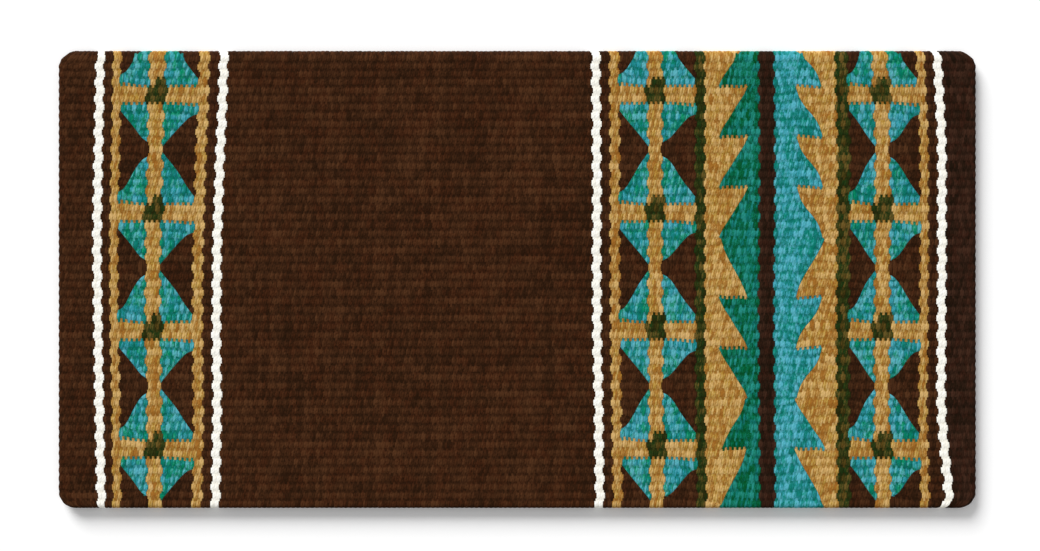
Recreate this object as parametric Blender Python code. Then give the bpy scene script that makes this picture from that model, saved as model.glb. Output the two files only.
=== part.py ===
"""A woven wool saddle blanket, folded once over the line of the horse's spine.

The cloth is weft-faced. Thick warp cords run along the spine line and stay hidden. The coloured wefts run
from selvage to selvage, over and under the cords. Each area of colour is a yarn of its own, so it is a piece
of its own: a face layer and a back layer with the cords between them, closed round the cords at the selvage
and at both ends. In the three motif columns the yarns interlock, so a column is one piece.

X runs along the spine, from the front edge to the rear edge. Y points to the fold and Z up. The off side
leaf lies underneath, the near side leaf on top of it, and the fold strip joins them. The near side leaf opens
about a line inside the fold, and the strip and the warp in it turn half as far. A leaf's own coordinates are
x and the distance from the line where the fold strip begins.
"""

import math

import bmesh
import bpy
from mathutils import Vector

# The whole blanket, in metres
blanket_length = 0.864
folded_drop = 0.431
cloth_thickness = 0.0064
leaf_clearance = 0.0006
corner_radius = 0.016

# The weave
warp_diameter = 0.002
warp_pitch = 0.0079
warp_clearance = 0.0003
selvage_turn = 0.002
end_turn = 0.003
piece_gap = 0.0003
least_stub = 0.003
cutter_overrun = 0.01

# The front band's stripes, from the front edge back
front_border_width = 0.032
cream_1_width = 0.0085
brown_1_width = 0.0075
tan_1_width = 0.0085
front_motif_width = 0.0706
tan_2_width = 0.0085
brown_2_width = 0.0085
cream_2_width = 0.0094

# The rear band's stripes, from the rear edge forwards
rear_border_width = 0.0296
cream_4_width = 0.0094
brown_4_width = 0.0061
tan_4_width = 0.0099
rear_motif_width = 0.0668
olive_2_width = 0.0104
turquoise_band_width = 0.0574
dark_stripe_width = 0.0141
green_band_width = 0.0522
olive_1_width = 0.0094
middle_motif_width = 0.0694
tan_3_width = 0.0086
brown_3_width = 0.0086
cream_3_width = 0.0089

# The motif: a cross with an olive square and four wings
cross_pitch = 0.1114
first_cross = 0.0352
stem_width = 0.0148
arm_height = 0.0184
square_height = 0.0254
wing_tip_width = 0.0055
wing_tip_spacing = 0.0085
joint_groove_depth = 0.0004

# The sawteeth, measured from the dark stripe's sides
tooth_pitch = 0.0487
first_tooth_row = 0.0286
green_root_width = 0.0135
green_tip_width = 0.0385
turquoise_root_width = 0.0178
turquoise_tip_width = 0.0442
teeth_from_fold = 4
teeth_turned_back = 3

# Facets of round stretches
corner_steps = 6
outer_fold_steps = 8
inner_fold_steps = 2
warp_sides = 6

# The spine's hinge line in the fold, as a share of the way from the leaves' ends to the fold's warp
spine_hinge_share = 0.7

# Points nearer to each other, or to a line, than this share of half the gap count as one
same_place_share = 0.1
wool_roughness = 0.9

fold_outer_radius = cloth_thickness + leaf_clearance / 2
fold_middle_radius = (cloth_thickness + leaf_clearance) / 2
fold_inner_radius = leaf_clearance / 2
quarter_fold = math.pi / 2 * fold_middle_radius

leaf_length = folded_drop - fold_outer_radius
fold_y = folded_drop / 2 - fold_outer_radius
off_z = cloth_thickness / 2
fold_z = cloth_thickness + leaf_clearance / 2
hinge_y = fold_y + spine_hinge_share * fold_middle_radius
near_z = fold_z + fold_middle_radius
channel_height = warp_diameter + 2 * warp_clearance
half_gap = piece_gap / 2
same_place = same_place_share * half_gap

YARNS = {
    "brown_wool": (0.222, 0.127, 0.074),
    "cream_wool": (0.965, 0.955, 0.92),
    "tan_wool": (0.69, 0.535, 0.28),
    "olive_wool": (0.225, 0.215, 0.075),
    "dark_brown_wool": (0.18, 0.108, 0.075),
    "green_wool": (0.05, 0.41, 0.31),
    "turquoise_wool": (0.21, 0.56, 0.57),
    "warp_cord": (0.72, 0.66, 0.55),
}
MOTIF_YARNS = ("brown_wool", "tan_wool", "turquoise_wool", "olive_wool")
STRIPE_YARNS = {
    "front": "brown_wool",
    "rear": "brown_wool",
    "centre": "brown_wool",
    "brown": "brown_wool",
    "cream": "cream_wool",
    "tan": "tan_wool",
    "olive": "olive_wool",
    "dark": "dark_brown_wool",
}
FOLD_LENGTHS = {
    "fold_front_border": ("front_border",),
    "fold_front_band": ("cream_1", "brown_1", "tan_1", "front_motif", "tan_2", "brown_2", "cream_2"),
    "fold_centre": ("centre_panel",),
    "fold_middle_band": ("cream_3", "brown_3", "tan_3", "middle_motif"),
    "fold_tooth_band": ("olive_1", "green_band", "dark_stripe", "turquoise_band", "olive_2"),
    "fold_rear_band": ("rear_motif", "tan_4", "brown_4", "cream_4"),
    "fold_rear_border": ("rear_border",),
}


def clear_scene():
    for thing in list(bpy.data.objects):
        bpy.data.objects.remove(thing, do_unlink=True)


def to_linear(value):
    return value / 12.92 if value <= 0.04045 else ((value + 0.055) / 1.055) ** 2.4


def yarn_material(name):
    """A plain wool or cord material, made once for each yarn."""
    material = bpy.data.materials.get(name)
    if material is None:
        material = bpy.data.materials.new(name)
        material.use_nodes = True
        surface = material.node_tree.nodes["Principled BSDF"]
        surface.inputs["Base Color"].default_value = [to_linear(c) for c in YARNS[name]] + [1]
        surface.inputs["Roughness"].default_value = wool_roughness
        surface.inputs["Metallic"].default_value = 0
    return material


def settle(distance):
    """A row of the pattern that falls nearly on the fold line or on the selvage is woven out to it."""
    if distance < least_stub:
        return min(distance, 0)
    if distance > leaf_length - least_stub:
        return max(distance, leaf_length)
    return distance


def cut_at(outline, limit, keep_above):
    """The part of an outline of (x, distance) points that lies on one side of a distance."""
    kept = []
    side = 1 if keep_above else -1
    for (xa, da), (xb, db) in zip(outline, outline[1:] + outline[:1]):
        inside_a = side * (da - limit) >= 0
        inside_b = side * (db - limit) >= 0
        if inside_a:
            kept.append((xa, da))
        if inside_a != inside_b:
            kept.append((xa + (xb - xa) * (limit - da) / (db - da), limit))
    return kept


def without_repeats(points):
    """The outline without points that lie on the one before them."""
    kept = []
    for point in points:
        if not kept or math.dist(point, kept[-1]) > half_gap:
            kept.append(point)
    if kept and math.dist(kept[0], kept[-1]) <= half_gap:
        kept.pop()
    return kept


def drawn_in(outline, by):
    """The outline with every side moved inwards, which leaves the gap between neighbouring yarns."""
    pairs = zip(outline, outline[1:] + outline[:1])
    turn = math.copysign(1, sum(xa * yb - xb * ya for (xa, ya), (xb, yb) in pairs))
    points = [Vector(p) for p in outline]
    moved = []
    for before, here, after in zip(points[-1:] + points[:-1], points, points[1:] + points[:1]):
        into = (here - before).normalized()
        out = (after - here).normalized()
        bisector = (Vector((-into.y, into.x)) + Vector((-out.y, out.x))) * turn
        moved.append(here + bisector * (2 * by / bisector.length_squared))
    return moved


def rectangle(x_low, x_high, start=0, end=None):
    stop = leaf_length + half_gap if end is None else end
    return [(x_low, start), (x_high, start), (x_high, stop), (x_low, stop)]


def leaf_point(point, height):
    """A leaf's own coordinates in space: the selvage lies towards -Y of the fold line."""
    return (point[0], -point[1], height)


def add_prism(mesh, outline, low, high, place):
    """A closed prism over an outline. place turns (outline point, height) into a point in space."""
    bottom = [mesh.verts.new(place(p, low)) for p in outline]
    top = [mesh.verts.new(place(p, high)) for p in outline]
    mesh.faces.new(bottom)
    mesh.faces.new(top)
    for k in range(len(outline)):
        after = (k + 1) % len(outline)
        mesh.faces.new((bottom[k], bottom[after], top[after], top[k]))


def add_banded_prism(mesh, profile, stations, slots):
    """A closed prism along X with a profile of (y, z) points, coloured from station to station."""
    rings = [[mesh.verts.new((x, *p)) for p in profile] for x in stations]
    for first, second, slot in zip(rings, rings[1:], slots):
        for k in range(len(profile)):
            after = (k + 1) % len(profile)
            mesh.faces.new((first[k], first[after], second[after], second[k])).material_index = slot
    mesh.faces.new(rings[0]).material_index = slots[0]
    mesh.faces.new(rings[-1]).material_index = slots[-1]


def with_shared_corners(tiles):
    """The tiles with each corner of a neighbour that lies on one of their sides added to that side."""
    corners = {tuple(p) for outline, _ in tiles for p in outline}
    shared = []
    for outline, slot in tiles:
        points = []
        for a, b in zip(outline, outline[1:] + outline[:1]):
            points.append(a)
            length = math.dist(a, b)
            between = []
            for c in corners:
                along = ((c[0] - a[0]) * (b[0] - a[0]) + (c[1] - a[1]) * (b[1] - a[1])) / length
                aside = ((c[0] - a[0]) * (b[1] - a[1]) - (c[1] - a[1]) * (b[0] - a[0])) / length
                if half_gap < along < length - half_gap and abs(aside) < same_place:
                    between.append((along, c))
            points += [c for _, c in sorted(between)]
        shared.append((points, slot))
    return shared


def add_tiled_slab(mesh, tiles, low, high):
    """One closed slab with coloured tiles on both faces and a shallow groove at each joint."""
    found = {}

    def corner(point, height):
        key = (round(point[0] / same_place), round(point[1] / same_place), height)
        if key not in found:
            found[key] = mesh.verts.new(leaf_point(point, height))
        return found[key]

    low_rim, high_rim = low + joint_groove_depth, high - joint_groove_depth
    for outline, slot in with_shared_corners(tiles):
        for rim, height in ((low_rim, low), (high_rim, high)):
            around = [corner(p, rim) for p in outline]
            inside = [mesh.verts.new(leaf_point(p, height)) for p in drawn_in(outline, half_gap)]
            mesh.faces.new(inside).material_index = slot
            for k in range(len(outline)):
                after = (k + 1) % len(outline)
                slope = mesh.faces.new((around[k], around[after], inside[after], inside[k]))
                slope.material_index = slot
    for edge in [e for e in mesh.edges if len(e.link_faces) == 1]:
        if edge.verts[0].co.z < 0:
            slot = edge.link_faces[0].material_index
            a, b = edge.verts
            above = [corner((v.co.x, -v.co.y), high_rim) for v in (b, a)]
            mesh.faces.new((a, b, *above)).material_index = slot


def finished_mesh(name, mesh, yarns=()):
    bmesh.ops.recalc_face_normals(mesh, faces=mesh.faces)
    data = bpy.data.meshes.new(name)
    mesh.to_mesh(data)
    mesh.free()
    for yarn in yarns:
        data.materials.append(yarn_material(yarn))
    return data


def add_object(name, data, parent, place):
    """A named piece at a place in the world, carried by its body's empty."""
    thing = bpy.data.objects.new(name, data)
    bpy.context.scene.collection.objects.link(thing)
    thing.parent = parent
    thing.location = Vector(place) - parent.matrix_world.translation
    return thing


def add_body(name, place, parent=None):
    """The empty that carries a body's pieces, on the axis of the joint that moves it."""
    empty = bpy.data.objects.new(name, None)
    bpy.context.scene.collection.objects.link(empty)
    empty.parent = parent
    empty.location = Vector(place) - (parent.matrix_world.translation if parent else Vector())
    bpy.context.view_layer.update()
    return empty


def add_cutter(name, data):
    cutter = bpy.data.objects.new(name, data)
    bpy.context.scene.collection.objects.link(cutter)
    cutter.hide_render = True
    cutter.display_type = "WIRE"
    return cutter


def cut(thing, cutter, operation):
    modifier = thing.modifiers.new(cutter.name, "BOOLEAN")
    modifier.operation = operation
    modifier.solver = "EXACT"
    modifier.object = cutter


def rounded_cutter(name, low, high, radius):
    """A box between two corners, whose upright edges are rounded."""
    points = []
    for side_x, side_y, quarter in ((1, 1, 0), (-1, 1, 1), (-1, -1, 2), (1, -1, 3)):
        centre_x = high[0] - radius if side_x > 0 else low[0] + radius
        centre_y = high[1] - radius if side_y > 0 else low[1] + radius
        for step in range(corner_steps + 1):
            angle = (quarter + step / corner_steps) * math.pi / 2
            points.append((centre_x + radius * math.cos(angle), centre_y + radius * math.sin(angle)))
    mesh = bmesh.new()
    add_prism(mesh, points, low[2], high[2], lambda p, height: (p[0], p[1], height))
    return add_cutter(name, finished_mesh(name, mesh))


def outline_cutter():
    """The folded blanket's plan outline, with its rounded corners, as a tall prism."""
    low = (-blanket_length / 2, -folded_drop / 2, -cutter_overrun)
    high = (blanket_length / 2, folded_drop / 2, 2 * fold_z + cutter_overrun)
    return rounded_cutter("plan_outline", low, high, corner_radius)


def laid_side_by_side(widths, start, direction):
    """Where each stripe lies, as {name: (lowest x, highest x)}, and where the last one ends."""
    spans = {}
    edge = start
    for name, width in widths:
        after = edge + direction * width
        spans[name] = (min(edge, after), max(edge, after))
        edge = after
    return spans, edge


def stripe_spans():
    """Every stripe's span along the blanket. The centre panel takes what the two bands leave."""
    front = [
        ("front_border", front_border_width),
        ("cream_1", cream_1_width),
        ("brown_1", brown_1_width),
        ("tan_1", tan_1_width),
        ("front_motif", front_motif_width),
        ("tan_2", tan_2_width),
        ("brown_2", brown_2_width),
        ("cream_2", cream_2_width),
    ]
    rear = [
        ("rear_border", rear_border_width),
        ("cream_4", cream_4_width),
        ("brown_4", brown_4_width),
        ("tan_4", tan_4_width),
        ("rear_motif", rear_motif_width),
        ("olive_2", olive_2_width),
        ("turquoise_band", turquoise_band_width),
        ("dark_stripe", dark_stripe_width),
        ("green_band", green_band_width),
        ("olive_1", olive_1_width),
        ("middle_motif", middle_motif_width),
        ("tan_3", tan_3_width),
        ("brown_3", brown_3_width),
        ("cream_3", cream_3_width),
    ]
    spans, front_end = laid_side_by_side(front, -blanket_length / 2, 1)
    rear_spans, rear_end = laid_side_by_side(rear, blanket_length / 2, -1)
    spans.update(rear_spans)
    spans["centre_panel"] = (front_end, rear_end)
    spans["front_border"] = (spans["front_border"][0] - half_gap, spans["front_border"][1])
    spans["rear_border"] = (spans["rear_border"][0], spans["rear_border"][1] + half_gap)
    return spans


def cross_places():
    """The distances of the crosses from the fold line, with one before it and one past the selvage."""
    count = int((leaf_length - first_cross) // cross_pitch) + 1
    return [first_cross + k * cross_pitch for k in range(-1, count + 1)]


def motif_tiles(span):
    """One motif column's tiles, as [(outline, yarn slot)]: ground, crosses, wings and olive squares."""
    x_low, x_high = span[0] + half_gap, span[1] - half_gap
    stem_low = (x_low + x_high - stem_width) / 2
    stem_high = (x_low + x_high + stem_width) / 2
    wing_height = (cross_pitch - arm_height - wing_tip_spacing) / 2
    brown, tan, turquoise, olive = range(len(MOTIF_YARNS))
    tiles = []
    places = cross_places()
    for k, place in enumerate(places):
        arm = [settle(place - arm_height / 2), settle(place + arm_height / 2)]
        square = [settle(place - square_height / 2), settle(place + square_height / 2)]
        tips = [settle(place - arm_height / 2 - wing_height), settle(place + arm_height / 2 + wing_height)]
        following = places[k + 1] if k + 1 < len(places) else place + cross_pitch
        next_base = settle(following - arm_height / 2)
        next_tip = settle(following - arm_height / 2 - wing_height)
        next_square = settle(following - square_height / 2)
        tiles.append((rectangle(stem_low, stem_high, *square), olive))
        tiles.append((rectangle(stem_low, stem_high, square[1], next_square), tan))
        for stem, edge in ((stem_low, x_low), (stem_high, x_high)):
            tip = stem + math.copysign(wing_tip_width, edge - stem)
            tiles.append((rectangle(stem, edge, *arm), tan))
            for tip_at, base_at in zip(tips, arm):
                wing = [(stem, tip_at), (tip, tip_at), (edge, base_at), (stem, base_at)]
                tiles.append((wing, turquoise))
            ground = [(edge, arm[1]), (tip, tips[1]), (stem, tips[1])]
            ground += [(stem, next_tip), (tip, next_tip), (edge, next_base)]
            tiles.append((ground, brown))
    fitted = []
    for outline, yarn in tiles:
        clean = without_repeats(cut_at(cut_at(outline, half_gap, True), leaf_length, False))
        if len(clean) > 2:
            fitted.append((clean, yarn))
    return fitted


def saw_edge(root, tip):
    """The toothed edge between two colours as (x, distance) points, from the fold line to the selvage."""
    points = []
    start = first_tooth_row - tooth_pitch
    tooth = 0
    while start + tooth_pitch / 2 < leaf_length:
        turned_back = teeth_from_fold <= tooth < teeth_from_fold + teeth_turned_back
        first, last = (tip, root) if turned_back else (root, tip)
        points += [(first, settle(start)), (last, settle(start + tooth_pitch))]
        start += tooth_pitch
        tooth += 1
    if points[-1][1] < leaf_length + half_gap:
        points.append((points[-1][0], leaf_length + half_gap))
    return points


def saw_edges(spans):
    """The green and the turquoise teeth's edges, both measured from the dark stripe."""
    dark_low, dark_high = spans["dark_stripe"]
    green = saw_edge(dark_low - green_root_width, dark_low - green_tip_width)
    turquoise = saw_edge(dark_high + turquoise_root_width, dark_high + turquoise_tip_width)
    return green, turquoise


def beside(edge, straight_x):
    """The outline between a toothed edge and a straight one."""
    return [(straight_x, edge[0][1])] + edge + [(straight_x, edge[-1][1])]


def outlined_areas(spans):
    """The yarn areas of one leaf that have one colour, as {piece: (yarn, outline)}."""
    green_edge, turquoise_edge = saw_edges(spans)
    areas = {}
    for name, span in spans.items():
        if not name.endswith(("motif", "band")):
            areas[name] = (STRIPE_YARNS[name.split("_")[0]], rectangle(*span))
    areas["front_tan_teeth"] = ("tan_wool", beside(green_edge, spans["green_band"][0]))
    areas["green_teeth"] = ("green_wool", beside(green_edge, spans["dark_stripe"][0]))
    areas["turquoise_teeth"] = ("turquoise_wool", beside(turquoise_edge, spans["dark_stripe"][1]))
    areas["rear_tan_teeth"] = ("tan_wool", beside(turquoise_edge, spans["turquoise_band"][1]))
    return areas


def leaf_meshes(spans):
    """The mesh of each yarn area, centred on the leaf's middle plane. Both leaves share them."""
    low, high = -cloth_thickness / 2, cloth_thickness / 2
    meshes = {}
    for name, (yarn, outline) in outlined_areas(spans).items():
        within = cut_at(cut_at(outline, 0, True), leaf_length + half_gap, False)
        mesh = bmesh.new()
        add_prism(mesh, drawn_in(without_repeats(within), half_gap), low, high, leaf_point)
        meshes[name] = finished_mesh(name, mesh, [yarn])
    for column in ("front_motif", "middle_motif", "rear_motif"):
        mesh = bmesh.new()
        add_tiled_slab(mesh, motif_tiles(spans[column]), low, high)
        meshes[column] = finished_mesh(column, mesh, MOTIF_YARNS)
    return meshes


def warp_runs():
    """The distances of a leaf's warp runs from the fold line. One more cord lies in the fold itself."""
    whole = leaf_length + quarter_fold
    count = max(1, round(whole / warp_pitch - 0.5))
    pitch = whole / (count + 0.5)
    return [k * pitch - quarter_fold for k in range(1, count + 1)], pitch


def drawn_back_at(distance):
    """How far a warp run ends short, so that it stays inside the rounded corners."""
    from_side = min(leaf_length - distance, distance + fold_outer_radius) - warp_diameter
    inside = max(0, min(corner_radius, corner_radius - from_side))
    return corner_radius - math.sqrt(corner_radius**2 - inside**2)


def warp_path():
    """The way of a leaf's warp, one cord that turns back at each end, as (x, distance) points."""
    runs, pitch = warp_runs()
    reach = blanket_length / 2 - end_turn - warp_clearance - warp_diameter / 2
    points = []
    side = -1
    for k, distance in enumerate(runs):
        straight = reach - pitch / 2 - drawn_back_at(distance)
        points += [(side * straight, distance), (-side * straight, distance)]
        side = -side
        if k + 1 < len(runs):
            ahead = reach - max(drawn_back_at(distance), drawn_back_at(runs[k + 1]))
            points.append((side * ahead, distance + pitch / 2))
    return points


def add_cord(mesh, path, radius):
    """A cord of round section along a flat path of (x, distance) points, mitred where it turns."""
    points = [Vector(leaf_point(p, 0)) for p in path]
    rings = []
    for k, here in enumerate(points):
        into = (here - points[max(k - 1, 0)]).normalized()
        out = (points[min(k + 1, len(points) - 1)] - here).normalized()
        along = (into + out).normalized()
        across = Vector((-along.y, along.x, 0))
        widened = 1 / max(along.dot(into), along.dot(out))
        ring = []
        for step in range(warp_sides):
            angle = (step + 0.5) / warp_sides * math.tau
            offset = across * (math.cos(angle) * radius * widened)
            ring.append(mesh.verts.new(here + offset + Vector((0, 0, math.sin(angle) * radius))))
        rings.append(ring)
    for first, second in zip(rings, rings[1:]):
        for k in range(warp_sides):
            after = (k + 1) % warp_sides
            mesh.faces.new((first[k], first[after], second[after], second[k]))
    mesh.faces.new(rings[0])
    mesh.faces.new(rings[-1])


def add_leaf(side, body, leaf_z, meshes, cord, plan):
    """One leaf: its yarn areas, cut to clear the warp, and its warp. The channel is open at the fold."""
    place = (0, fold_y, leaf_z)
    low = (end_turn - blanket_length / 2, selvage_turn - folded_drop / 2, leaf_z - channel_height / 2)
    high = (blanket_length / 2 - end_turn, folded_drop / 2 + corner_radius, leaf_z + channel_height / 2)
    channel = rounded_cutter(f"{side}_warp_channel", low, high, corner_radius - selvage_turn)
    for name, data in meshes.items():
        thing = add_object(f"{side}_{name}", data, body, place)
        cut(thing, channel, "DIFFERENCE")
        if name.endswith("border"):
            cut(thing, plan, "INTERSECT")
    add_object(f"{side}_warp_cord", cord, body, place)


def fold_profile():
    """The fold strip's cross-section as (y, z) points about the middle of the fold."""
    outer = [(half_gap, -fold_outer_radius)]
    for step in range(1, outer_fold_steps):
        angle = (step / outer_fold_steps - 0.5) * math.pi
        outer.append((fold_outer_radius * math.cos(angle), fold_outer_radius * math.sin(angle)))
    outer.append((half_gap, fold_outer_radius))
    inner = [(half_gap, fold_inner_radius)]
    for step in range(1, inner_fold_steps):
        angle = (0.5 - step / inner_fold_steps) * math.pi
        inner.append((fold_inner_radius * math.cos(angle), fold_inner_radius * math.sin(angle)))
    inner.append((half_gap, -fold_inner_radius))
    return outer + inner


def x_at_fold(edge):
    """Where a toothed edge crosses the fold line."""
    for (xa, da), (xb, db) in zip(edge, edge[1:]):
        if da <= 0 < db:
            return xa + (xb - xa) * (0 - da) / (db - da)
    return edge[0][0]


def colours_at_fold(name, spans):
    """The stretches of colour of one span where it passes over the fold, as [(highest x, yarn)]."""
    low, high = spans[name]
    green_edge, turquoise_edge = saw_edges(spans)
    if name == "green_band":
        return [(x_at_fold(green_edge), "tan_wool"), (high, "green_wool")]
    if name == "turquoise_band":
        return [(x_at_fold(turquoise_edge), "turquoise_wool"), (high, "tan_wool")]
    if name.endswith("motif"):
        at_fold = []
        for outline, yarn in motif_tiles(spans[name]):
            on_line = [x for x, distance in outline if abs(distance - half_gap) < same_place]
            if len(on_line) > 1:
                at_fold.append((max(on_line), MOTIF_YARNS[yarn]))
        return sorted(at_fold)[:-1] + [(high, sorted(at_fold)[-1][1])]
    return [(high, STRIPE_YARNS[name.split("_")[0]])]


def add_fold(body, warp_body, spans, plan):
    """The strip that turns over the fold, in lengths, bored for the one warp cord that lies there."""
    place = (0, fold_y, fold_z)
    half_length = blanket_length / 2 - corner_radius - end_turn
    mesh = bmesh.new()
    bore = warp_diameter / 2 + warp_clearance
    add_cord(mesh, [(-half_length, -fold_middle_radius), (half_length, -fold_middle_radius)], bore)
    cutter = add_cutter("fold_bore", finished_mesh("fold_bore", mesh))
    cutter.location = place
    for name, members in FOLD_LENGTHS.items():
        stretches = [s for member in members for s in colours_at_fold(member, spans)]
        yarns = sorted({yarn for _, yarn in stretches})
        stations = [spans[members[0]][0] + half_gap] + [x for x, _ in stretches[:-1]]
        stations.append(spans[members[-1]][1] - half_gap)
        mesh = bmesh.new()
        add_banded_prism(mesh, fold_profile(), stations, [yarns.index(yarn) for _, yarn in stretches])
        thing = add_object(name, finished_mesh(name, mesh, yarns), body, place)
        cut(thing, cutter, "DIFFERENCE")
        if name.endswith("border"):
            cut(thing, plan, "INTERSECT")
    mesh = bmesh.new()
    reach = half_length - warp_clearance
    add_cord(mesh, [(-reach, -fold_middle_radius), (reach, -fold_middle_radius)], warp_diameter / 2)
    add_object("fold_warp_cord", finished_mesh("fold_warp_cord", mesh, ["warp_cord"]), warp_body, place)


def build_blanket():
    clear_scene()
    spans = stripe_spans()
    spine_line = (0, hinge_y, fold_z)
    off_side = add_body("off_side_leaf", (0, fold_y, off_z))
    near_side = add_body("near_side_leaf", spine_line, off_side)
    spine_fold = add_body("spine_fold", spine_line, off_side)
    spine_warp = add_body("spine_warp", spine_line, near_side)
    plan = outline_cutter()
    meshes = leaf_meshes(spans)
    mesh = bmesh.new()
    add_cord(mesh, warp_path(), warp_diameter / 2)
    cord = finished_mesh("warp_cord", mesh, ["warp_cord"])
    add_leaf("off", off_side, off_z, meshes, cord, plan)
    add_leaf("near", near_side, near_z, meshes, cord, plan)
    add_fold(spine_fold, spine_warp, spans, plan)


build_blanket()
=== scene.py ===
"""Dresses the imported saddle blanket: every yarn area as woven cloth, with its ribs, floats and wool.

The cloth is charted as a weaver would chart it. A pick is one weft, and picks lie side by side along X. A
rib is one warp cord with the wefts over it, and ribs lie one after another from the fold to the selvage. A
weft shows on every second rib, as a float, so pick and rib numbers of one float are both even or both odd.
"""

import math

import bpy
import numpy as np
from bpy.props import FloatProperty, FloatVectorProperty, IntProperty, PointerProperty
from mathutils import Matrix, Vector


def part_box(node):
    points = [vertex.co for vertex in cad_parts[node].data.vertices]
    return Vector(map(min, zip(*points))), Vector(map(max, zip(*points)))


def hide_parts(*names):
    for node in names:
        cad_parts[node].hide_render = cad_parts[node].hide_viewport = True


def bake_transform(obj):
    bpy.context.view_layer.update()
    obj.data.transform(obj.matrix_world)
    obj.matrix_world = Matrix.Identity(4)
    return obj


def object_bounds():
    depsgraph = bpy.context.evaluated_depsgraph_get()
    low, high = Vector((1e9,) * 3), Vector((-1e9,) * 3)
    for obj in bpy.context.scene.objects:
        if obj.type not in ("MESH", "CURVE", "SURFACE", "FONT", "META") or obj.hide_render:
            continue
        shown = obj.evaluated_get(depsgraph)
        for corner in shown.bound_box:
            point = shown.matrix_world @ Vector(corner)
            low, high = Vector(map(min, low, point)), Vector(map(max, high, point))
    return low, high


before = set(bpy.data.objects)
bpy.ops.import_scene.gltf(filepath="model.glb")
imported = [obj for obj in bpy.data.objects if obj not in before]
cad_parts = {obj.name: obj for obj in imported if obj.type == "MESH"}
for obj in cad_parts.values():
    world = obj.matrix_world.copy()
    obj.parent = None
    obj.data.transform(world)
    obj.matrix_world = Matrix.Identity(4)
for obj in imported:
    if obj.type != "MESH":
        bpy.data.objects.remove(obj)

bl_info = {
    "name": "Saddle blanket",
    "version": (1, 0, 0),
    "blender": (4, 5, 0),
    "location": "View3D > Sidebar > Blanket",
    "description": "Weaves the visible cloth of a folded saddle blanket round its packed frame",
    "category": "Object",
}

SIDES = {"near": 1, "off": -1}

# The whole blanket's size comes from the frame, in metres
CAD_LOW, CAD_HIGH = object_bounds()
LENGTH = CAD_HIGH.x - CAD_LOW.x
LEAF_LOW, LEAF_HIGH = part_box("off_centre_panel")
THICKNESS = LEAF_HIGH.z - LEAF_LOW.z
FOLD_Z = (CAD_LOW.z + CAD_HIGH.z) / 2
FOLD_RADIUS = FOLD_Z - (LEAF_LOW.z + LEAF_HIGH.z) / 2
FOLD_Y = CAD_HIGH.y - FOLD_Z
SELVAGE_Y = CAD_LOW.y
QUARTER_FOLD = math.pi / 2 * FOLD_RADIUS
CLOTH_REACH = QUARTER_FOLD + FOLD_Y - SELVAGE_Y
CORNER_RADIUS = 0.016

# The weave: 54 ribs and half of the one in the fold, with a float every second pick and a grid of two
# columns to a pick. The ribs beside the fold are crowded, and floats that the ends cut off have tones too
RIBS = 54
PICKS = 386
COLUMNS = 2 * PICKS
RIB = CLOTH_REACH / (RIBS + 0.5)
PICK = LENGTH / PICKS
COLUMN = PICK / 2
CROWDING_AT_FOLD = 0.42
CROWDED_RIBS = 2
SPARE_PICKS = 4

# The grid's rows over a rib, and its last row, counted in ribs from the crown. Beyond the tips' reach, the
# floats of two ribs share out the space between them pick by pick
ROWS = {"near": (-0.34, -0.12, 0.12, 0.34, 0.5), "off": (-0.34, 0.0, 0.34, 0.5)}
SELVAGE_ROW = 0.45
TIP_REACH = 0.34

# A float's crown: how many ribs it reaches from its middle, and how steeply it falls
FLOAT_REACH = 0.78
FLOAT_FALL = 1.2

# The slow waves of the wander: each one's length in metres and its share, and how far in they are whole
WANDER_WAVES = ((0.21, 0.5), (0.09, 0.3), (0.037, 0.2))
WANDER_FROM_EDGES = 0.03

# The steps along slants are eased in rounds. Each round keeps a share of the last one's movement, and the
# easing is whole this far in from the fold and the selvage, in metres
EASING_ROUNDS = 60
EASING_SWING = 0.75
EASED_FROM_EDGES = 0.008

# The pairs of areas that meet along slants. The first pairs are the teeth, whose bases stay level
SLANTING = (
    ("front_tan_teeth", "green_teeth"), ("rear_tan_teeth", "turquoise_teeth"),
    ("front_ground", "front_wings"), ("middle_ground", "middle_wings"), ("rear_ground", "rear_wings"),
)
TEETH_PAIRS = 2

# The outline, in metres: the stretch at each end that draws in to it, and the one at the selvage, which
# scallops by a share of the ends' scallop
DRAWN_END = 0.045
SCALLOPED_SELVAGE = 0.008
SELVAGE_SCALLOP = 0.6

# The motif, counted in ribs from the fold and in picks from its stem. A square is wider than the stem on
# both sides, and its front part has fewer ribs than the rest
FIRST_CROSS = 5.5
CROSS_PITCH = 14
CROSSES = 4
ARM_RIBS = 2
WING_RIBS = {"above": 6, "below": 5}
WING_TIP_PICKS = 2.2
STEM_PICKS = 6
STEM_SHIFTS = {"front": 0, "middle": -1, "rear": -1}
SQUARE_OVERLAP = 1
SQUARE_FRONT_ENDS = -1
SQUARE_RIBS = {"front": 2, "rear": 3}

# The sawteeth, counted in ribs: where each ends, which ones narrow away from the fold, the length of a whole
# one, and how near to a base nothing slants. Roots and tips lie this far from the dark stripe, in metres
TEETH_ENDS = (4.5, 10.5, 16.5, 22.5, 29.5, 35.5, 41.5, 47.5, 54.5)
TEETH_TURNED_BACK = (4, 5, 6)
TOOTH_RIBS = 6
BASE_RIBS = 0.2
GREEN_ROOT, GREEN_TIP = 0.0135, 0.0392
TURQUOISE_ROOT, TURQUOISE_TIP = 0.0178, 0.0446

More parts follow.
